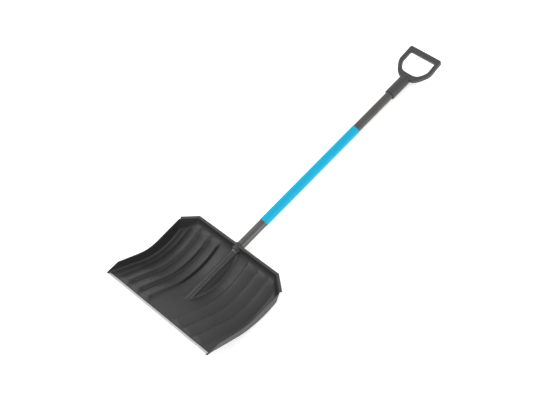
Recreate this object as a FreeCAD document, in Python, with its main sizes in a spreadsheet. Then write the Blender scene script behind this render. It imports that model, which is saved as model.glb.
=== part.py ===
"""Snow shovel: moulded scoop with a screwed-on metal edge, tubular shaft with a coloured sleeve, and a D-grip.

Everything is drawn in the shaft's frame: the shaft's axis is the Y axis, the scoop's edge is near Y = 0,
the grip is at large Y, and Z points out of the scoop's hollow. A last placement lays the shovel on its back.
"""
import FreeCAD, Part
import math
import os

from FreeCAD import Placement, Rotation, Vector
import Sketcher

doc = FreeCAD.newDocument("SnowShovel")

# ---------------------------------------------------------------- driving dimensions, in millimetres and degrees
DIMENSIONS = {
    # scoop, along its side profile from the edge to the back rim
    "scoop_width": 500.0, "wall_thick": 3.0, "edge_rise": 92.5, "floor_slope": 33.5, "straight_run": 128.0,
    "floor_radius": 228.0, "back_start": 352.0, "back_radius": 50.0, "rim_height": 18.5,
    # side walls
    "tip_setback": 10.8, "tip_height": 91.0, "kink_run": 60.0, "kink_height": 88.5, "wall_slope": 31.0,
    "wall_radius": 160.0, "wall_draft": 0.12, "wall_spread": 0.022,
    # rear corners and the rim flange
    "corner_run": 335.0, "corner_cut_width": 56.0, "corner_cut_depth": 44.6, "corner_lean": 0.55,
    "rim_width": 7.0, "rim_thick": 3.0,
    # floor ribs, three each side of the middle
    "rib_first": 72.0, "rib_pitch": 49.5, "rib_height": 9.5, "rib_start": 26.0, "rib_inner_side": 9.0,
    "rib_crest": 5.0, "rib_outer_side": 30.0,
    # socket that runs up the middle of the scoop
    "socket_start": 100.0, "socket_outer": 13.4, "socket_bore": 10.8, "web_spread": 28.0, "web_drop": 32.0,
    "collar_start": 362.0, "collar_end": 391.0, "collar_outer": 19.5, "collar_bore": 16.1,
    # metal edge
    "edge_length": 484.0, "edge_nose": 8.0, "edge_lip": 18.0, "edge_flange": 30.0, "edge_skin": 1.5,
    "edge_slot": 9.0, "edge_slot_gap": 3.0, "edge_screw_pitch": 108.0, "edge_screw_run": 20.0,
    # shaft
    "tube_outer": 16.0, "tube_wall": 1.5, "neck_outer": 10.7, "neck_start": 112.0, "neck_end": 346.0,
    "shoulder_end": 364.0, "tube_end": 1246.0,
    "sleeve_start": 509.0, "sleeve_end": 1006.0, "sleeve_outer": 17.4,
    # grip
    "hub_start": 1200.0, "hub_outer": 20.6, "hub_end": 1300.0, "hub_floor": 1247.0,
    "grip_pivot": 1285.0, "grip_tilt": 7.0, "grip_top": 1422.0, "grip_half_width": 72.0, "grip_thick": 20.0,
    "bar_depth": 21.0, "leg_width": 14.0, "grip_round": 4.5, "grip_bottom": 1291.0, "gap_bottom": 1315.0,
    # screws
    "screw_shank": 2.2, "screw_head": 4.4, "screw_head_height": 2.6, "screw_length": 8.0,
    "scoop_screw_run": 205.0, "grip_screw_run": 1222.0,
    "edge_screw_head": 3.4, "edge_screw_head_height": 1.4, "edge_screw_length": 4.0, "edge_screw_shank": 1.6,
}

sheet = doc.addObject("Spreadsheet::Sheet", "Dimensions")
for row, (name, value) in enumerate(DIMENSIONS.items(), start=1):
    sheet.set(f"A{row}", name)
    sheet.set(f"B{row}", str(value))
    sheet.setAlias(f"B{row}", name)
doc.recompute()


def size(name):
    """A driving dimension, read from the sheet."""
    return float(sheet.get(name))


# ---------------------------------------------------------------- how the shovel lies: on its back, grip on the ground
HUB_ROUND = 8.0
SLOPE = math.radians(size("floor_slope"))
FLOOR_CENTRE_Y = size("straight_run") + size("floor_radius") * math.sin(SLOPE)
FLOOR_CENTRE_Z = (size("edge_rise") - size("straight_run") * math.tan(SLOPE)
                  + size("floor_radius") * math.cos(SLOPE))


def rest_tilt():
    """Angle that puts the scoop's belly and the top rim of the grip's hub on one level plane."""
    belly = size("floor_radius") + size("wall_thick")
    reach = size("hub_end") - HUB_ROUND - FLOOR_CENTRE_Y
    drop = FLOOR_CENTRE_Z + size("hub_outer")
    span = math.hypot(reach, drop)
    return math.asin(belly / span) - math.atan2(drop, reach)


TILT = rest_tilt()
LAY_DOWN = Rotation(Vector(1, 0, 0), -math.degrees(TILT))

sub_parts = []


def keep(obj, label, local=Placement()):
    """Name a sub-part and remember where it sits in the shaft's frame."""
    obj.Label = label
    sub_parts.append((obj, local))
    return obj


# ---------------------------------------------------------------- sketch and body helpers
def origin_plane(body, role):
    return next(feature for feature in body.Origin.OriginFeatures if feature.Role == role)


def outline_sketch(body, name, role, corners):
    """A closed outline of straight lines on an origin plane. Each corner is a pair of sheet expressions."""
    sketch = body.newObject("Sketcher::SketchObject", name)
    sketch.AttachmentSupport = [(origin_plane(body, role), "")]
    sketch.MapMode = "FlatFace"
    points = [Vector(evaluate(across), evaluate(along), 0) for across, along in corners]
    count = len(points)
    for index, point in enumerate(points):
        sketch.addGeometry(Part.LineSegment(point, points[(index + 1) % count]), False)
    for index in range(count):
        sketch.addConstraint(Sketcher.Constraint("Coincident", index, 2, (index + 1) % count, 1))
    for index, (across, along) in enumerate(corners):
        for kind, text in (("DistanceX", across), ("DistanceY", along)):
            row = sketch.addConstraint(Sketcher.Constraint(kind, -1, 1, index, 1, evaluate(text)))
            if any(letter.isalpha() for letter in text):
                sketch.setExpression(f"Constraints[{row}]", bound(text))
    return sketch


def words(text):
    for mark in "+-*/()":
        text = text.replace(mark, f" {mark} ")
    return text.split()


def bound(text):
    """The expression with each dimension's name pointing at its cell."""
    return " ".join(f"Dimensions.{word}" if word in DIMENSIONS else word for word in words(text))


def evaluate(text):
    """The value of a sum of sheet dimensions and plain numbers, such as 'tube_outer-tube_wall'."""
    total, sign = 0.0, 1.0
    for word in words(text):
        if word in "+-":
            sign = 1.0 if word == "+" else -1.0
        else:
            total += sign * (size(word) if word in DIMENSIONS else float(word))
            sign = 1.0
    return total


def turned_body(name, corners):
    """A body turned about the Y axis: corners are (radius, distance along the axis)."""
    body = doc.addObject("PartDesign::Body", name)
    sketch = outline_sketch(body, f"{name}Outline", "XY_Plane", corners)
    turn = body.newObject("PartDesign::Revolution", f"{name}Turn")
    turn.Profile = sketch
    turn.ReferenceAxis = (sketch, ["V_Axis"])
    turn.Angle = 360.0
    return body


def loop_face(points):
    corners = [Vector(*point) for point in points]
    return Part.Face(Part.makePolygon(corners + corners[:1]))


def right_way_out(solid):
    """The same solid with its faces pointing outward."""
    return solid.reversed() if solid.Volume < 0 else solid


# ---------------------------------------------------------------- scoop: side profile
def slope_point(run, lift=0.0):
    """A point on the straight front of the floor, lifted square to it."""
    return Vector(0, run + lift * math.sin(SLOPE), size("edge_rise") - run * math.tan(SLOPE) + lift * math.cos(SLOPE))


def arc_point(centre, radius, angle):
    """A point on a floor arc; the angle is measured from straight down, towards the back."""
    return Vector(0, centre.y + radius * math.sin(angle), centre.z - radius * math.cos(angle))


def back_arc():
    """Where the belly arc ends, as an angle, and the centre of the back arc that carries on from it."""
    belly = Vector(0, FLOOR_CENTRE_Y, FLOOR_CENTRE_Z)
    leave = math.asin((size("back_start") - belly.y) / size("floor_radius"))
    return leave, arc_point(belly, size("floor_radius") - size("back_radius"), leave)


def floor_path(depth, start_run, end_height):
    """The floor's line in side view, sunk by depth: straight front, long belly arc, short back arc."""
    belly = Vector(0, FLOOR_CENTRE_Y, FLOOR_CENTRE_Z)
    leave, back = back_arc()
    belly_radius = size("floor_radius") + depth
    back_radius = size("back_radius") + depth
    top = math.acos((back.z - end_height) / back_radius)
    front = slope_point(start_run, -depth)
    belly_start = arc_point(belly, belly_radius, -SLOPE)
    belly_end = arc_point(belly, belly_radius, leave)
    return [
        Part.LineSegment(front, belly_start).toShape(),
        Part.Arc(belly_start, arc_point(belly, belly_radius, 0), belly_end).toShape(),
        Part.Arc(belly_end, arc_point(back, back_radius, (leave + top) / 2),
                 arc_point(back, back_radius, top)).toShape(),
    ]


def close_profile(edges, extra_points):
    """Close a run of edges with straight lines through the extra points."""
    last = edges[-1].Vertexes[-1].Point
    first = edges[0].Vertexes[0].Point
    stops = [last] + [Vector(0, *point) for point in extra_points] + [first]
    lines = [Part.LineSegment(a, b).toShape() for a, b in zip(stops, stops[1:])]
    return Part.Face(Part.Wire(edges + lines))


def wall_top():
    """Height of the side walls in side view, from the back rim forward to the front tip."""
    slope = math.radians(size("wall_slope"))
    kink = Vector(0, size("kink_run"), size("kink_height"))
    corner_y = kink.y + (kink.z - size("rim_height")) / math.tan(slope)
    reach = size("wall_radius") * math.tan(slope / 2)
    level_end = Vector(0, corner_y + reach, size("rim_height"))
    slope_end = Vector(0, corner_y - reach * math.cos(slope), size("rim_height") + reach * math.sin(slope))
    middle = Vector(0, level_end.y - size("wall_radius") * math.sin(slope / 2),
                    size("rim_height") + size("wall_radius") * (1 - math.cos(slope / 2)))
    return level_end, middle, slope_end, kink, Vector(0, size("tip_setback"), size("tip_height"))


def outer_profile():
    thick = size("wall_thick")
    edges = floor_path(thick, size("tip_setback"), size("rim_height") - size("rim_thick"))
    back_top = edges[-1].Vertexes[-1].Point
    level_end, middle, slope_end, kink, tip = wall_top()
    rim_corner = Vector(0, back_top.y, size("rim_height"))
    top = [
        Part.LineSegment(back_top, rim_corner).toShape(),
        Part.LineSegment(rim_corner, level_end).toShape(),
        Part.Arc(level_end, middle, slope_end).toShape(),
        Part.LineSegment(slope_end, kink).toShape(),
        Part.LineSegment(kink, tip).toShape(),
        Part.LineSegment(tip, edges[0].Vertexes[0].Point).toShape(),
    ]
    return Part.Face(Part.Wire(edges + top))


def across(face, half_width):
    """Extrude a side-view face across the scoop, the same distance each way."""
    moved = face.copy()
    moved.translate(Vector(-half_width, 0, 0))
    return moved.extrude(Vector(2 * half_width, 0, 0))


# ---------------------------------------------------------------- scoop: plan outline, leaning outward upward
def side_x(y, z):
    """Outer face of a side wall: it leans outward going up and opens a little towards the back."""
    return (size("scoop_width") / 2 - size("wall_draft") * (size("kink_height") - z)
            + size("wall_spread") * (y - size("kink_run")))


def plan_section(z, inset, front=-40.0):
    """Plan outline of the scoop at one height, drawn inset by a wall's thickness."""
    cut_x, cut_y = size("corner_cut_width"), size("corner_cut_depth")
    length = math.hypot(cut_x, cut_y)
    face_x, face_y = cut_y / length, cut_x / length
    corner_y = size("corner_run") + size("corner_lean") * (z - size("rim_height"))
    corner_x = side_x(corner_y, z)
    inset_y = corner_y - inset * (1 - face_x) / face_y
    right = [
        (side_x(front, z) - inset, front),
        (side_x(inset_y, z) - inset, inset_y),
        (corner_x - cut_x - inset * (1 - face_y) / face_x, corner_y + cut_y - inset),
    ]
    left = [(-x, y) for x, y in reversed(right)]
    return [Vector(x, y, z) for x, y in right + left]


def plan_prism(inset):
    """Solid between the plan outlines low and high above the scoop; every side of it is flat."""
    low, high = plan_section(-60.0, inset), plan_section(110.0, inset)
    faces = [loop_face(low), loop_face(high)]
    for index, corner in enumerate(low):
        after = (index + 1) % len(low)
        faces.append(loop_face([corner, low[after], high[after], high[index]]))
    return right_way_out(Part.Solid(Part.makeShell(faces)))


def scoop_shell():
    width = size("scoop_width")
    outside = across(outer_profile(), width).common(plan_prism(0.0))
    return outside.fuse(rim_flange()).cut(hollow_prism(width))


def rim_flange():
    """Flat flange round the back rim and the two rear corners, whose inner edge is the wall."""
    top, thick = size("rim_height"), size("rim_thick")
    out = size("rim_width")
    side, cut = plan_section(top - thick, 0.0)[1:3]
    right = [side, Vector(cut.x + out / 3, cut.y + out, top - thick)]
    plate = loop_face(right + [Vector(-p.x, p.y, p.z) for p in reversed(right)])
    return plate.extrude(Vector(0, 0, thick))


def hollow_prism(width):
    """The space inside the scoop, from the floor up past the walls' tops."""
    edges = floor_path(0.0, -30.0, size("rim_height"))
    back_top = edges[-1].Vertexes[-1].Point
    face = close_profile(edges, [(back_top.y, 140.0), (-60.0, 140.0)])
    return across(face, width).common(plan_prism(size("wall_thick")))


# ---------------------------------------------------------------- scoop: floor ribs and shaft socket
def swept_rib(sign, corners, extra):
    """Sweep a rib's cross-section, given as (across, above the floor), along the floor's curve."""
    run, across_axis = size("rib_start") + extra, Vector(1, 0, 0)
    start, belly_start = slope_point(run), slope_point(size("straight_run"))
    up = Vector(0, math.sin(SLOPE), math.cos(SLOPE))
    section = loop_face([start + Vector(sign * x, 0, 0) + up * rise for x, rise in corners])
    belly = Vector(0, FLOOR_CENTRE_Y, FLOOR_CENTRE_Z)
    leave, back = back_arc()
    top = math.acos((back.z - size("rim_height") + 24.0 + extra) / size("back_radius"))
    front = section.extrude(belly_start - start)
    section.translate(belly_start - start)
    middle = section.revolve(belly, across_axis, math.degrees(SLOPE + leave))
    section.rotate(belly, across_axis, math.degrees(SLOPE + leave))
    rear = section.revolve(back, across_axis, math.degrees(top - leave))
    return right_way_out(front).fuse([right_way_out(middle), right_way_out(rear)]).removeSplitter().Solids[0]


def floor_rib(sign, first):
    """A raised rib: a short steep side to the middle, a flat crest and a long easy side outward."""
    crest_end = first + size("rib_crest")
    corners = [(first - size("rib_inner_side"), -1.0), (first, size("rib_height")),
               (crest_end, size("rib_height")), (crest_end + size("rib_outer_side"), -1.0)]
    return swept_rib(sign, corners, 0.0)


def rib_hollow(sign, first):
    """The groove under a rib, which keeps the floor one wall thick."""
    thick, crest_end = size("wall_thick"), first + size("rib_crest")
    corners = [(first - 4.0, -thick - 1.0), (first + 1.0, size("rib_height") - thick),
               (crest_end - 1.0, size("rib_height") - thick), (crest_end + 11.0, -thick - 1.0)]
    return swept_rib(sign, corners, 4.0)


def along_shaft(radius, start, end):
    return Part.makeCylinder(radius, end - start, Vector(0, start, 0), Vector(0, 1, 0))


def web(inset, start, end):
    """Sloping webs that carry the socket: narrow at the socket, wide at the floor."""
    half, foot, drop = size("socket_outer"), size("web_spread"), size("web_drop")
    lean = (foot - half) / drop
    bottom = -drop - 20.0
    points = [(half - inset, start, 0), (half - inset - lean * bottom, start, bottom)]
    points += [(-x, y, z) for x, y, z in reversed(points)]
    return loop_face(points).extrude(Vector(0, end - start, 0))


def edge_screw_places():
    return [n * size("edge_screw_pitch") for n in (-2, -1, 0, 1, 2)]


def edge_pilot(x):
    """Blind hole in the floor's front edge for one screw that holds the metal edge."""
    foot = slope_point(size("edge_screw_run") * math.cos(SLOPE), -size("wall_thick"))
    up = Vector(0, math.sin(SLOPE), math.cos(SLOPE))
    depth = size("edge_screw_length") - size("edge_skin")
    return Part.makeCylinder(size("edge_screw_shank"), depth, foot + Vector(x, 0, 0), up)


def scoop():
    width, thick = size("scoop_width"), size("wall_thick")
    shell = scoop_shell()
    body_space = across(outer_profile(), width).common(plan_prism(0.0))
    rows = [(sign, size("rib_first") + n * size("rib_pitch")) for sign in (-1, 1) for n in range(3)]
    ribs = [floor_rib(sign, first) for sign, first in rows]
    webs = web(0.0, size("socket_start"), size("collar_start")).common(body_space)
    shell = shell.fuse(ribs + [webs]).cut([rib_hollow(sign, first) for sign, first in rows])
    shell = shell.cut(web(thick, size("socket_start") + thick, size("collar_start") - thick))
    shell = shell.fuse([along_shaft(size("socket_outer"), size("socket_start"), size("collar_end")),
                        along_shaft(size("collar_outer"), size("collar_start"), size("collar_end"))])
    shell = shell.cut(along_shaft(size("socket_bore"), size("neck_start") - 1.0, size("collar_end") + 1.0))
    shell = shell.cut(along_shaft(size("collar_bore"), size("shoulder_end") - 2.0, size("collar_end") + 1.0))
    cone = Part.makeCone(size("socket_bore"), size("collar_bore"), size("shoulder_end") - size("neck_end") - 1.0,
                         Vector(0, size("neck_end") - 1.0, 0), Vector(0, 1, 0))
    shell = shell.cut(cone)
    start = slope_point(size("edge_slot") * math.cos(SLOPE))
    nose = Part.makeBox(size("edge_length") + 1.0, 40.0, 60.0,
                        Vector(-size("edge_length") / 2 - 0.5, start.y - 40.0, start.z - 30.0))
    nose.rotate(start, Vector(1, 0, 0), -size("floor_slope"))
    pilots = [edge_pilot(x) for x in edge_screw_places()]
    scoop_pilot = Part.makeCylinder(size("screw_shank"), 14.0, Vector(0, size("scoop_screw_run"), -14.0))
    shell = shell.cut([nose, scoop_pilot] + pilots)
    return shell.removeSplitter().Solids[0]


scoop_feature = doc.addObject("Part::Feature", "Scoop")
scoop_feature.Shape = scoop()
keep(scoop_feature, "scoop")

# ---------------------------------------------------------------- metal edge, hooked over the floor's front
ON_SLOPE = Placement(slope_point(0.0), Rotation(Vector(1, 0, 0), -size("floor_slope")))

edge = doc.addObject("PartDesign::Body", "EdgeStrip")
edge_sketch = outline_sketch(edge, "EdgeSection", "YZ_Plane", [
    ("0", "0-edge_slot_gap"),
    ("edge_nose", "edge_skin"),
    ("edge_lip", "edge_skin"),
    ("edge_lip", "0"),
    ("edge_slot", "0"),
    ("edge_slot", "0-edge_slot_gap"),
    ("edge_flange", "0-edge_slot_gap"),
    ("edge_flange", "0-edge_slot_gap-edge_skin"),
    ("edge_skin", "0-edge_slot_gap-edge_skin"),
])
edge_pad = edge.newObject("PartDesign::Pad", "EdgePad")
edge_pad.Profile = edge_sketch
edge_pad.Midplane = True
edge_pad.setExpression("Length", "Dimensions.edge_length")
edge_holes_sketch = edge.newObject("Sketcher::SketchObject", "EdgeHoles")
edge_holes_sketch.AttachmentSupport = [(origin_plane(edge, "XY_Plane"), "")]
edge_holes_sketch.MapMode = "FlatFace"
for place in edge_screw_places():
    centre = Vector(place, size("edge_screw_run"), 0)
    edge_holes_sketch.addGeometry(Part.Circle(centre, Vector(0, 0, 1), size("edge_screw_shank")), False)
edge_pocket = edge.newObject("PartDesign::Pocket", "EdgePocket")
edge_pocket.Profile = edge_holes_sketch
edge_pocket.Reversed = False
edge_pocket.Length = 12.0
keep(edge, "edge_strip", ON_SLOPE)

edge_screws = doc.addObject("Part::Feature", "EdgeScrews")
edge_heads = []
for place in edge_screw_places():
    seat = Vector(place, size("edge_screw_run"), -size("edge_slot_gap") - size("edge_skin"))
    head = Part.makeCylinder(size("edge_screw_head"), size("edge_screw_head_height"),
                             seat - Vector(0, 0, size("edge_screw_head_height")))
    shank = Part.makeCylinder(size("edge_screw_shank"), size("edge_screw_length"), seat)
    edge_heads.append(head.fuse(shank).removeSplitter().Solids[0])
edge_screws.Shape = Part.makeCompound(edge_heads)
keep(edge_screws, "edge_screws", ON_SLOPE)

# ---------------------------------------------------------------- shaft: tube with a necked foot, sleeve and end cap
tube = turned_body("ShaftTube", [
    ("neck_outer-tube_wall", "neck_start"),
    ("neck_outer", "neck_start"),
    ("neck_outer", "neck_end"),
    ("tube_outer", "shoulder_end"),
    ("tube_outer", "tube_end"),
    ("tube_outer-tube_wall", "tube_end"),
    ("tube_outer-tube_wall", "shoulder_end"),
    ("neck_outer-tube_wall", "neck_end"),
])
keep(tube, "shaft_tube")

sleeve = turned_body("ShaftSleeve", [
    ("tube_outer", "sleeve_start"),
    ("sleeve_outer", "sleeve_start"),
    ("sleeve_outer", "sleeve_end"),
    ("tube_outer", "sleeve_end"),
])
keep(sleeve, "shaft_sleeve")

# ---------------------------------------------------------------- grip: a closed D on a hub
def mirrored_outline(half):
    """Close an outline from its right half, a list of edges running from the bottom to the top."""
    other = [edge.mirror(Vector(0, 0, 0), Vector(1, 0, 0)) for edge in half]
    ends = [(half[0].Vertexes[0].Point, other[0].Vertexes[0].Point),
            (half[-1].Vertexes[-1].Point, other[-1].Vertexes[-1].Point)]
    bridges = [Part.LineSegment(a, b).toShape() for a, b in ends if a.distanceToPoint(b) > 0.01]
    return Part.Face(Part.Wire(Part.__sortEdges__(half + other + bridges)))


def bowed_half(side, bottom, top, neck, corner, knee, shoulder):
    """Right half of a D outline: flat bottom, one smooth swept side and a round top corner, all tangent."""
    height = top - bottom
    points = [Vector(neck, bottom, 0)]
    points += [Vector(across_part * side, bottom + up_part * height, 0) for across_part, up_part in (knee, shoulder)]
    points += [Vector(side, top - corner, 0)]
    sweep = Part.BSplineCurve()
    sweep.interpolate(Points=points, InitialTangent=Vector(1, 0, 0), FinalTangent=Vector(0, 1, 0))
    cut = corner * (1 - math.sqrt(0.5))
    corner_arc = Part.Arc(points[-1], Vector(side - cut, top - cut, 0), Vector(side - corner, top, 0))
    return [sweep.toShape(), corner_arc.toShape()]


def grip():
    thick, top, side = size("grip_thick"), size("grip_top"), size("grip_half_width")
    outline = mirrored_outline(bowed_half(side, size("grip_bottom"), top, 14.0, 8.0, (0.66, 0.13), (0.93, 0.35)))
    gap = mirrored_outline(bowed_half(side - size("leg_width"), size("gap_bottom"), top - size("bar_depth"),
                                      12.0, 7.0, (0.66, 0.09), (0.93, 0.33)))
    plate = outline.cut(gap).extrude(Vector(0, 0, thick))
    plate.translate(Vector(0, 0, -thick / 2))
    plate = plate.removeSplitter().Solids[0]
    rims = [edge for edge in plate.Edges if abs(edge.BoundBox.ZLength) < 0.01]
    plate = plate.makeFillet(size("grip_round"), rims)
    plate.rotate(Vector(0, size("grip_pivot"), 0), Vector(1, 0, 0), size("grip_tilt"))
    hub = along_shaft(size("hub_outer"), size("hub_start"), size("hub_end"))
    lower_rim = [edge for edge in hub.Edges if edge.BoundBox.YMax < size("hub_start") + 0.1]
    upper_rim = [edge for edge in hub.Edges if edge.BoundBox.YMin > size("hub_end") - 0.1]
    hub = hub.makeFillet(1.5, lower_rim).makeFillet(HUB_ROUND, upper_rim)
    screw_hole = Part.makeCylinder(size("screw_shank"), 30.0, Vector(0, size("grip_screw_run"), -30.0))
    bore = along_shaft(size("tube_outer"), size("hub_start") - 1.0, size("hub_floor"))
    return plate.fuse(hub).cut([bore, screw_hole]).removeSplitter().Solids[0]


grip_feature = doc.addObject("Part::Feature", "Grip")
grip_feature.Shape = grip()
keep(grip_feature, "d_grip")


# ---------------------------------------------------------------- screws that hold the scoop and the grip on
def cross_screw(name):
    """Round-headed screw, drawn with its shank up and the underside of its head at zero."""
    return turned_body(name, [
        ("0", "0-screw_head_height"),
        ("screw_head", "0-screw_head_height"),
        ("screw_head", "0"),
        ("screw_shank", "0"),
        ("screw_shank", "screw_length"),
        ("0", "screw_length"),
    ])


UPWARD = Rotation(Vector(1, 0, 0), 90)
keep(cross_screw("ScoopScrew"), "scoop_screw",
     Placement(Vector(0, size("scoop_screw_run"), -size("socket_outer")), UPWARD))
keep(cross_screw("GripScrew"), "grip_screw",
     Placement(Vector(0, size("grip_screw_run"), -size("hub_outer")), UPWARD))
doc.recompute()

# ---------------------------------------------------------------- lay the shovel down and write every sub-part
for sub_part, local_placement in sub_parts:
    sub_part.Placement = Placement(Vector(), LAY_DOWN).multiply(local_placement)
doc.recompute()
boxes = [sub_part.Shape.optimalBoundingBox(True) for sub_part, _ in sub_parts]
middle_y = (min(box.YMin for box in boxes) + max(box.YMax for box in boxes)) / 2
ground_z = min(box.ZMin for box in boxes)
for sub_part, local_placement in sub_parts:
    rest = Placement(Vector(0, -middle_y, -ground_z), LAY_DOWN)
    sub_part.Placement = rest.multiply(local_placement)
doc.recompute()

for obj in doc.Objects:
    if {"Invalid", "Error"} & set(obj.State):
        raise RuntimeError(f"{obj.Name} did not recompute: {obj.State}")
for sub_part, _ in sub_parts:
    if sub_part.Shape.isNull() or not sub_part.Shape.isValid():
        raise RuntimeError(f"{sub_part.Label} has no valid shape")

os.makedirs("parts", exist_ok=True)
for sub_part, _ in sub_parts:
    sub_part.Shape.exportStep(f"parts/{sub_part.Label}.step")
    box = sub_part.Shape.BoundBox
    print(f"{sub_part.Label}: {sub_part.Shape.Volume / 1000:.1f} cm3, {box.XLength:.1f} x {box.YLength:.1f} x {box.ZLength:.1f}")
print(f"tilt {math.degrees(TILT):.3f} degrees, shift Y {-middle_y:.3f}, Z {-ground_z:.3f}")
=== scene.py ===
import math

import bmesh
import bpy
import numpy as np
from mathutils import Matrix, Vector


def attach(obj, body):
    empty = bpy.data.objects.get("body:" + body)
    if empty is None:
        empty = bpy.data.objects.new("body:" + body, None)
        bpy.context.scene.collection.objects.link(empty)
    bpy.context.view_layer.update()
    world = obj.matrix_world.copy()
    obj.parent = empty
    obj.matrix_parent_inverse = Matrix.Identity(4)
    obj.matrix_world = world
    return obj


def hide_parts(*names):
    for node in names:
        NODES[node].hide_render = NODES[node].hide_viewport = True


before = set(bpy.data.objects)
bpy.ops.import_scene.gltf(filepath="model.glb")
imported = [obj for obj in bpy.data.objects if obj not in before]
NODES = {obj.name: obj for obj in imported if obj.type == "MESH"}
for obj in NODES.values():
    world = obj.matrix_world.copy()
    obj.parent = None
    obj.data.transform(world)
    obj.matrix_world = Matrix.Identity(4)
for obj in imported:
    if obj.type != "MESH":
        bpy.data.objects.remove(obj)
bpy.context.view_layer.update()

# ------------------------------------------------------------------ the shovel's own sizes, in millimetres
# Drawn in the shaft's frame: the shaft's axis is Y, the scoop's edge is near Y = 0 and Z points
# out of the scoop.
TILT = math.radians(0.691)
LIE = Matrix.Translation((0, -0.710569, 0.037978)) @ Matrix.Rotation(-TILT, 4, "X")

WALL = 3.0
SCOOP_WIDTH = 500.0
EDGE_RISE = 92.5
SLOPE = math.radians(33.5)
STRAIGHT_RUN = 128.0
FLOOR_R, BACK_START, BACK_R = 228.0, 352.0, 50.0
RIM_Z = 18.5
TIP_Y, TIP_Z = 10.8, 90.7
KINK_Y, KINK_Z = 60.0, 88.5
TOP_SLOPE, TOP_R = math.radians(31.0), 160.0
DRAFT, SPREAD = 0.12, 0.022
CORNER_Y, CUT_X, CUT_Y, LEAN = 335.0, 56.0, 44.6, 0.55
RIM_OUT, RIM_THICK, RIM_BEGIN = 7.0, 3.0, 3.2
RIB_X = (72.0, 121.5, 171.0)
RIB_H, RIB_IN, RIB_CREST, RIB_OUT = 11.0, 9.0, 5.0, 35.0
RIB_START, RIB_END = 22.0, 405.0
RIB_RISE_RUN, RIB_FADE_RUN = 14.0, 34.0
RIB_FLARE, RIB_FLARE_RUN, RIB_FALL_POWER = 13.0, 34.0, 1.5
SOCKET_START, SOCKET_R, SOCKET_BORE = 100.0, 13.4, 10.8
WEB_FOOT, WEB_DROP, WEB_SETBACK = 28.0, 32.0, 6
FOOT_ROUND, FOOT_RUN, FOOT_SINK = 4.0, 5.0, 4.0
COLLAR_START, COLLAR_END, COLLAR_R, COLLAR_BORE = 362.0, 391.0, 19.5, 16.1

BELLY_Y = STRAIGHT_RUN + FLOOR_R * math.sin(SLOPE)
BELLY_Z = EDGE_RISE - STRAIGHT_RUN * math.tan(SLOPE) + FLOOR_R * math.cos(SLOPE)
LEAVE = math.asin((BACK_START - BELLY_Y) / FLOOR_R)
BACK_Y = BELLY_Y + (FLOOR_R - BACK_R) * math.sin(LEAVE)
BACK_Z = BELLY_Z - (FLOOR_R - BACK_R) * math.cos(LEAVE)
BACK_TOP = math.acos((BACK_Z - RIM_Z) / BACK_R)


def smooth(value):
    value = np.clip(value, 0.0, 1.0)
    return value * value * (3 - 2 * value)


# ------------------------------------------------------------------ mesh helpers
def new_object(name, points, faces, shade=True):
    """A mesh object from points in the shaft's frame in millimetres, laid down like the CAD."""
    mesh = bpy.data.meshes.new(name)
    mesh.from_pydata([tuple(LIE @ (Vector(p) / 1000)) for p in points], [], faces)
    mesh.update()
    made = bpy.data.objects.new(name, mesh)
    bpy.context.collection.objects.link(made)
    if shade:
        mesh.shade_smooth()
    return made


def grid_faces(rows, columns, wrap=False):
    """Quads of a grid of rows by columns, closed across the columns if wrap is set."""
    faces = []
    for r in range(rows - 1):
        for c in range(columns if wrap else columns - 1):
            d = (c + 1) % columns
            faces.append((r * columns + c, r * columns + d, (r + 1) * columns + d, (r + 1) * columns + c))
    return faces


def finish_piece(piece, material, body="root"):
    piece.data.materials.clear()
    piece.data.materials.append(material)
    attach(piece, body)


def lathe(name, outline, segments=96):
    """A closed turned ring about the shaft's axis from (radius, y) points."""
    points, count = [], len(outline)
    for step in range(segments):
        angle = 2 * math.pi * step / segments
        points += [(r * math.cos(angle), y, r * math.sin(angle)) for r, y in outline]
    faces = []
    for step in range(segments):
        after = (step + 1) % segments
        for i in range(count):
            j = (i + 1) % count
            faces.append((step * count + i, step * count + j, after * count + j, after * count + i))
    piece = new_object(name, points, faces)
    outward(piece)
    return piece


def outward(piece):
    """Turn every face outward."""
    bm = bmesh.new()
    bm.from_mesh(piece.data)
    bmesh.ops.recalc_face_normals(bm, faces=bm.faces)
    bm.to_mesh(piece.data)
    bm.free()


# ------------------------------------------------------------------ materials
def node_material(name):
    material = bpy.data.materials.new(name)
    material.use_nodes = True
    tree = material.node_tree
    shader = tree.nodes["Principled BSDF"]
    return material, tree, shader


def add(tree, kind, **values):
    node = tree.nodes.new(kind)
    for key, value in values.items():
        setattr(node, key, value)
    return node


def noise(tree, coordinates, scale, detail=3.0, roughness=0.5, stretch=None):
    """A noise texture in metres, optionally stretched along one axis."""
    source = coordinates
    if stretch:
        mapping = add(tree, "ShaderNodeMapping")
        mapping.inputs["Scale"].default_value = stretch
        tree.links.new(coordinates, mapping.inputs["Vector"])
        source = mapping.outputs["Vector"]
    texture = add(tree, "ShaderNodeTexNoise")
    texture.inputs["Scale"].default_value = scale
    texture.inputs["Detail"].default_value = detail
    texture.inputs["Roughness"].default_value = roughness
    tree.links.new(source, texture.inputs["Vector"])
    return texture.outputs["Fac"]


def ramp(tree, source, low, high, start=0.3, end=0.7):
    """Map a 0-1 value to a range between two numbers."""
    node = add(tree, "ShaderNodeMapRange", clamp=True)
    node.inputs["From Min"].default_value = start
    node.inputs["From Max"].default_value = end
    node.inputs["To Min"].default_value = low
    node.inputs["To Max"].default_value = high
    tree.links.new(source, node.inputs["Value"])
    return node.outputs["Result"]


def mix_colour(tree, factor, first, second):
    node = add(tree, "ShaderNodeMix", data_type="RGBA")
    tree.links.new(factor, node.inputs[0])
    for socket, value in ((node.inputs[6], first), (node.inputs[7], second)):
        socket.default_value = (*value, 1.0)
    return node.outputs[2]


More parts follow.
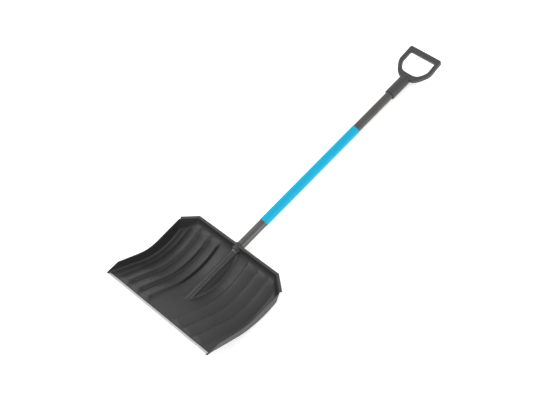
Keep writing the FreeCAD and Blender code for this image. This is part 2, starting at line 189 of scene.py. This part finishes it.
def bump(tree, shader, height, strength, distance):
    node = add(tree, "ShaderNodeBump")
    node.inputs["Strength"].default_value = strength
    node.inputs["Distance"].default_value = distance
    tree.links.new(height, node.inputs["Height"])
    tree.links.new(node.outputs["Normal"], shader.inputs["Normal"])


def object_coordinates(tree):
    return add(tree, "ShaderNodeTexCoord").outputs["Object"]


def moulded_plastic(name, base, lighter, gloss_low, gloss_high, grain=2600.0):
    """Satin moulded plastic: fine spark-eroded grain, faint flow marks and a few rubbed patches."""
    material, tree, shader = node_material(name)
    where = object_coordinates(tree)
    flow = noise(tree, where, 9.0, 4.0, 0.55, stretch=(1.0, 0.35, 1.0))
    patches = noise(tree, where, 38.0, 3.0, 0.6)
    fine = noise(tree, where, grain, 2.0, 0.6)
    colour = mix_colour(tree, ramp(tree, flow, 0.0, 1.0, 0.3, 0.75), base, lighter)
    tree.links.new(colour, shader.inputs["Base Color"])
    tree.links.new(ramp(tree, patches, gloss_low, gloss_high), shader.inputs["Roughness"])
    shader.inputs["Specular IOR Level"].default_value = 0.5
    bump(tree, shader, fine, 0.25, 0.00006)
    return material


def brushed_metal(name, base, dark, rough_low, rough_high):
    """Rolled metal with fine scratches along X."""
    material, tree, shader = node_material(name)
    where = object_coordinates(tree)
    lines = noise(tree, where, 900.0, 3.0, 0.6, stretch=(0.02, 1.0, 1.0))
    stains = noise(tree, where, 30.0, 4.0, 0.6)
    shader.inputs["Metallic"].default_value = 1.0
    colour = mix_colour(tree, ramp(tree, stains, 0.0, 1.0), base, dark)
    tree.links.new(colour, shader.inputs["Base Color"])
    tree.links.new(ramp(tree, lines, rough_low, rough_high), shader.inputs["Roughness"])
    bump(tree, shader, lines, 0.15, 0.00005)
    return material


def lacquered_tube(name):
    """Grey-brown satin lacquer over a drawn tube, with faint drawing lines along it."""
    material, tree, shader = node_material(name)
    where = object_coordinates(tree)
    lines = noise(tree, where, 1400.0, 2.0, 0.5, stretch=(1.0, 0.01, 1.0))
    clouds = noise(tree, where, 14.0, 3.0, 0.5)
    shader.inputs["Metallic"].default_value = 0.75
    colour = mix_colour(tree, ramp(tree, clouds, 0.0, 1.0), (0.085, 0.08, 0.078), (0.1, 0.096, 0.093))
    tree.links.new(colour, shader.inputs["Base Color"])
    tree.links.new(ramp(tree, lines, 0.3, 0.38), shader.inputs["Roughness"])
    bump(tree, shader, lines, 0.06, 0.00003)
    return material


def sleeve_vinyl(name):
    """Bright blue smooth vinyl with a very slight orange-peel."""
    material, tree, shader = node_material(name)
    where = object_coordinates(tree)
    peel = noise(tree, where, 520.0, 2.0, 0.5)
    clouds = noise(tree, where, 10.0, 3.0, 0.5)
    colour = mix_colour(tree, ramp(tree, clouds, 0.0, 1.0), (0.0, 0.33, 0.52), (0.0, 0.35, 0.55))
    tree.links.new(colour, shader.inputs["Base Color"])
    tree.links.new(ramp(tree, clouds, 0.36, 0.44), shader.inputs["Roughness"])
    shader.inputs["Specular IOR Level"].default_value = 0.25
    bump(tree, shader, peel, 0.08, 0.00004)
    return material


SCOOP = moulded_plastic("Scoop plastic", (0.016, 0.016, 0.0163), (0.02, 0.02, 0.0203), 0.4, 0.5)
GRIP = moulded_plastic("Grip plastic", (0.03, 0.03, 0.0304), (0.036, 0.036, 0.0364), 0.42, 0.5)
EDGE = brushed_metal("Wear edge", (0.6, 0.6, 0.6), (0.52, 0.52, 0.52), 0.28, 0.42)
STEEL = brushed_metal("Zinc plated steel", (0.6, 0.6, 0.61), (0.5, 0.5, 0.5), 0.3, 0.42)
TUBE = lacquered_tube("Shaft lacquer")
SLEEVE = sleeve_vinyl("Sleeve vinyl")


# ------------------------------------------------------------------ scoop
def floor_z(y):
    """Height of the floor's upper face at Y = y."""
    if y < STRAIGHT_RUN:
        return EDGE_RISE - y * math.tan(SLOPE)
    if y < BACK_START:
        return BELLY_Z - math.sqrt(FLOOR_R**2 - (y - BELLY_Y) ** 2)
    return BACK_Z - math.sqrt(max(BACK_R**2 - (y - BACK_Y) ** 2, 0.0))


def floor_tangent(y):
    """Angle of the floor's line at Y = y."""
    if y < STRAIGHT_RUN:
        return -SLOPE
    if y < BACK_START:
        return math.asin((y - BELLY_Y) / FLOOR_R)
    return math.asin(min((y - BACK_Y) / BACK_R, 1.0))


def top_z(y):
    """Height of the side walls' top edge."""
    corner = KINK_Y + (KINK_Z - RIM_Z) / math.tan(TOP_SLOPE)
    reach = TOP_R * math.tan(TOP_SLOPE / 2)
    if y < KINK_Y:
        return TIP_Z + (KINK_Z - TIP_Z) * (y - TIP_Y) / (KINK_Y - TIP_Y)
    if y < corner - reach * math.cos(TOP_SLOPE):
        return KINK_Z - (y - KINK_Y) * math.tan(TOP_SLOPE)
    if y < corner + reach:
        return RIM_Z + TOP_R - math.sqrt(TOP_R**2 - (corner + reach - y) ** 2)
    return RIM_Z


def wall_x(y, z, inset=WALL):
    """Inner face of the side wall, or of the rear corner's slanting wall, at a height."""
    side = SCOOP_WIDTH / 2 - DRAFT * (KINK_Z - z) + SPREAD * (y - KINK_Y) - inset
    length = math.hypot(CUT_X, CUT_Y)
    corner_y = CORNER_Y + LEAN * (z - RIM_Z)
    corner_x = SCOOP_WIDTH / 2 - DRAFT * (KINK_Z - z) + SPREAD * (corner_y - KINK_Y)
    slanted = corner_x - (y - corner_y) * CUT_X / CUT_Y - inset * length / CUT_Y
    blend = 7.0
    h = max(blend - abs(side - slanted), 0.0) / blend
    return min(side, slanted) - h * h * blend / 4


def rib_lift(x, run):
    """How far the floor's ribs stand up at a place, with x from the middle and run along the floor."""
    lift = 0.0
    rise = smooth((run - RIB_START) / RIB_RISE_RUN)
    fade = 1 - smooth((run - RIB_END + RIB_FADE_RUN) / RIB_FADE_RUN)
    for crest in RIB_X:
        inner = RIB_IN + RIB_FLARE * (1 - smooth((run - RIB_START) / RIB_FLARE_RUN))
        d = abs(x) - crest
        if -inner < d <= 0:
            shape = smooth(1 + d / inner)
        elif 0 < d < RIB_CREST + RIB_OUT:
            shape = 1 - (d / (RIB_CREST + RIB_OUT)) ** RIB_FALL_POWER
        else:
            continue
        lift = max(lift, RIB_H * shape * rise * fade)
    return lift


def socket_z(x, y):
    """Height of the socket's round top and its webs, or very low where there is none."""
    ax = abs(x)
    if ax < SOCKET_R:
        start = SOCKET_START + (1 - math.sqrt(max(1 - (ax / SOCKET_R) ** 2, 0.0))) * FOOT_ROUND
    else:
        start = SOCKET_START + WEB_SETBACK
    if y < start - FOOT_RUN:
        return -400.0
    if ax < SOCKET_R:
        top = math.sqrt(SOCKET_R**2 - ax**2)
        corner = SOCKET_R * 0.96
        if ax > corner:
            top = math.sqrt(SOCKET_R**2 - corner**2) * (SOCKET_R - ax) / (SOCKET_R - corner)
    else:
        top = -(ax - SOCKET_R) * WEB_DROP / (WEB_FOOT - SOCKET_R)
    nose = smooth((start - y) / FOOT_RUN)
    return top - nose * (top - floor_z(y)) - FOOT_SINK * nose


def smooth_max(a, b, r):
    h = max(r - abs(a - b), 0.0) / r
    return max(a, b) + h * h * r / 4


def floor_point(x, y, run):
    """A point of the scoop's upper face over the floor."""
    angle = floor_tangent(y)
    lift = rib_lift(x, run)
    py = y - lift * math.sin(angle)
    pz = floor_z(y) + lift * math.cos(angle)
    ridge = socket_z(x, y)
    if ridge > pz - 12:
        pz = smooth_max(pz, ridge, 5.0)
    return (x, py, pz)


def column_places():
    """Even and finer spacing of the floor's columns, as fractions from the middle to the wall."""
    marks = set()
    for x in np.arange(0, SOCKET_R + 0.1, SOCKET_R / 9):
        marks.add(round(float(x), 3))
    for x in np.arange(SOCKET_R + 1.2, WEB_FOOT + 4, 1.7):
        marks.add(round(float(x), 3))
    for crest in RIB_X:
        for d in np.arange(-22, RIB_CREST + RIB_OUT + 3, 1.5):
            marks.add(round(crest + float(d), 3))
    for x in np.arange(36, 236, 4.0):
        if all(abs(x - m) > 1.4 for m in marks):
            marks.add(round(float(x), 3))
    return sorted(m for m in marks if m < 229)


def row_places():
    """Stations along the floor as (y, run from the edge)."""
    places, run = [], 0.0
    front = 7.6
    y = front
    last = (front, floor_z(front))
    while y < STRAIGHT_RUN:
        places.append(y)
        y += 1.6 if y < 60 or 88 < y < 112 else 3.0
    angle = -SLOPE
    while angle < LEAVE:
        places.append(BELLY_Y + FLOOR_R * math.sin(angle))
        angle += 3.0 / FLOOR_R
    angle = LEAVE
    while angle < BACK_TOP:
        places.append(BACK_Y + BACK_R * math.sin(angle))
        angle += 1.8 / BACK_R
    places.append(BACK_Y + BACK_R * math.sin(BACK_TOP))
    result = []
    for y in places:
        run += math.hypot(y - last[0], floor_z(y) - last[1])
        last = (y, floor_z(y))
        result.append((y, run + front / math.cos(SLOPE)))
    return result


def scoop_shell():
    """The moulding as one sheet of even thickness: floor, ribs, socket ridge and walls in one grid."""
    half = column_places()
    columns = [-m for m in reversed(half) if m > 0] + half
    wall_steps, bend_steps, radius = 16, 6, 7.0
    points, rows = [], row_places()
    for y, run in rows:
        z_floor = floor_z(y)
        foot = wall_x(y, z_floor)
        crest = max(top_z(y), z_floor + 0.05)
        bend = min(radius, 0.5 * (crest - z_floor) + 0.01)
        reach = foot - bend
        widest = half[-1]
        squeeze = reach / widest if reach < widest + 4 else 1.0
        floor = [floor_point(x * squeeze, y, run) for x in columns]
        side = []
        if squeeze == 1.0:
            side += [floor_point(widest + (reach - widest) * k / 3, y, run) for k in (1, 2)]
        else:
            side += [floor_point(reach * (1 + 0.0001 * k), y, run) for k in (1, 2)]
        start, control = (reach, z_floor), (foot, z_floor)
        end = (wall_x(y, z_floor + bend), z_floor + bend)
        for k in range(1, bend_steps + 1):
            s = k / bend_steps
            weights = ((1 - s) ** 2, 2 * s * (1 - s), s * s)
            side.append((sum(w * p[0] for w, p in zip(weights, (start, control, end))), y,
                         sum(w * p[1] for w, p in zip(weights, (start, control, end)))))
        for k in range(1, wall_steps + 1):
            z = end[1] + (crest - end[1]) * k / wall_steps
            side.append((wall_x(y, z), y, z))
        left = [(-x, py, z) for x, py, z in reversed(side)]
        points += left + floor + side
    width = len(points) // len(rows)
    piece = new_object("scoop_shell", points, grid_faces(len(rows), width))
    solid = piece.modifiers.new("Thickness", "SOLIDIFY")
    solid.thickness = WALL / 1000
    solid.offset = -1.0
    solid.use_even_offset = False
    return piece


def rim_line(outset):
    """Plan of the rear rim from its right end to its left, moved outward from the wall's outer face."""
    side = SCOOP_WIDTH / 2 - DRAFT * (KINK_Z - RIM_Z) + SPREAD * (CORNER_Y - KINK_Y)
    length = math.hypot(CUT_X, CUT_Y)
    normal = Vector((CUT_Y / length, CUT_X / length))
    along = Vector((-CUT_X / length, CUT_Y / length))
    start = Vector((side, CORNER_Y)) + normal * outset + along * RIM_BEGIN
    back_y = CORNER_Y + CUT_Y + outset
    bend_x = start.x - (back_y - start.y) * CUT_X / CUT_Y
    return [(start.x, start.y), (bend_x, back_y), (-bend_x, back_y), (-start.x, start.y)]


def rim_flange():
    """Flat flange turned outward round the rear corners and the back."""
    top, low, round_off = RIM_Z + 0.3, RIM_Z - RIM_THICK, 0.9
    section = [(-WALL, low), (RIM_OUT - round_off, low), (RIM_OUT, low + round_off),
               (RIM_OUT, top - round_off), (RIM_OUT - round_off, top), (-WALL + round_off, top),
               (-WALL, top - round_off)]
    lines = [rim_line(outset) for outset, _ in section]
    points = [(*lines[i][station], section[i][1]) for station in range(4) for i in range(len(section))]
    faces = grid_faces(4, len(section), wrap=True)
    faces += [tuple(range(len(section))), tuple(range(3 * len(section), 4 * len(section)))]
    piece = new_object("scoop_rim", points, faces, shade=False)
    outward(piece)
    return piece


def turned_ring(name, start, end, outer, bore):
    edge = 0.8
    return lathe(name, [(bore, start), (outer - edge, start), (outer, start + edge),
                        (outer, end - edge), (outer - edge, end), (bore, end)])


scoop_pieces = [
    scoop_shell(),
    rim_flange(),
    turned_ring("scoop_collar", COLLAR_START, COLLAR_END, COLLAR_R, COLLAR_BORE),
    turned_ring("scoop_socket", SOCKET_START + 8.0, COLLAR_START, SOCKET_R - 0.4, SOCKET_BORE),
]
for piece in scoop_pieces:
    finish_piece(piece, SCOOP)
    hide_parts("scoop")

CAD_LOOKS = {
    "edge_strip": EDGE, "edge_screws": STEEL, "scoop_screw": STEEL, "grip_screw": STEEL,
    "shaft_tube": TUBE, "shaft_sleeve": SLEEVE, "d_grip": GRIP,
}
for node_name, material in CAD_LOOKS.items():
    NODES[node_name].data.materials.clear()
    NODES[node_name].data.materials.append(material)

# ------------------------------------------------------------------ floor, light and camera
bpy.ops.mesh.primitive_plane_add(size=40, location=(0, 0, -0.0005))
ground = bpy.context.object
ground.name = "ground"
ground_material, _, ground_shader = node_material("Ground")
ground_shader.inputs["Base Color"].default_value = (0.9, 0.9, 0.9, 1)
ground_shader.inputs["Roughness"].default_value = 0.9
ground_shader.inputs["Emission Color"].default_value = (1, 1, 1, 1)
ground_shader.inputs["Emission Strength"].default_value = 0.45
ground.data.materials.append(ground_material)

world = bpy.data.worlds.new("Studio")
bpy.context.scene.world = world
world.use_nodes = True
world.node_tree.nodes["Background"].inputs["Color"].default_value = (1, 1, 1, 1)
world.node_tree.nodes["Background"].inputs["Strength"].default_value = 1.0


def area_light(name, place, target, size_m, power):
    light = bpy.data.lights.new(name, "AREA")
    light.shape = "RECTANGLE"
    light.size, light.size_y = size_m
    light.energy = power
    lamp = bpy.data.objects.new(name, light)
    bpy.context.collection.objects.link(lamp)
    lamp.location = place
    lamp.rotation_mode = "QUATERNION"
    lamp.rotation_quaternion = (Vector(target) - Vector(place)).to_track_quat("-Z", "Y")
    return lamp


area_light("Key", (-1.6, -0.6, 2.6), (0, -0.4, 0), (2.4, 2.4), 30)
area_light("Side", (4.0, 0.2, 0.9), (0, 0.2, 0), (1.2, 0.8), 40)

camera_data = bpy.data.cameras.new("Camera")
camera = bpy.data.objects.new("Camera", camera_data)
bpy.context.collection.objects.link(camera)
camera_data.sensor_width = 36.0
camera_data.lens = 69.87
camera_data.clip_start, camera_data.clip_end = 0.1, 60.0
CAMERA_PLACE = Vector((1800.9, -536.4, 3064.9)) / 1000
RIGHT = Vector((0.717813, 0.671979, -0.182178))
DOWN = Vector((0.494116, -0.676023, -0.546664))
AHEAD = Vector((-0.490504, 0.302385, -0.817294))
turn = Matrix((RIGHT, -DOWN, -AHEAD)).transposed().to_4x4()
camera.matrix_world = LIE @ Matrix.Translation(CAMERA_PLACE) @ turn
bpy.context.scene.camera = camera

scene = bpy.context.scene
scene.view_settings.view_transform = "Standard"
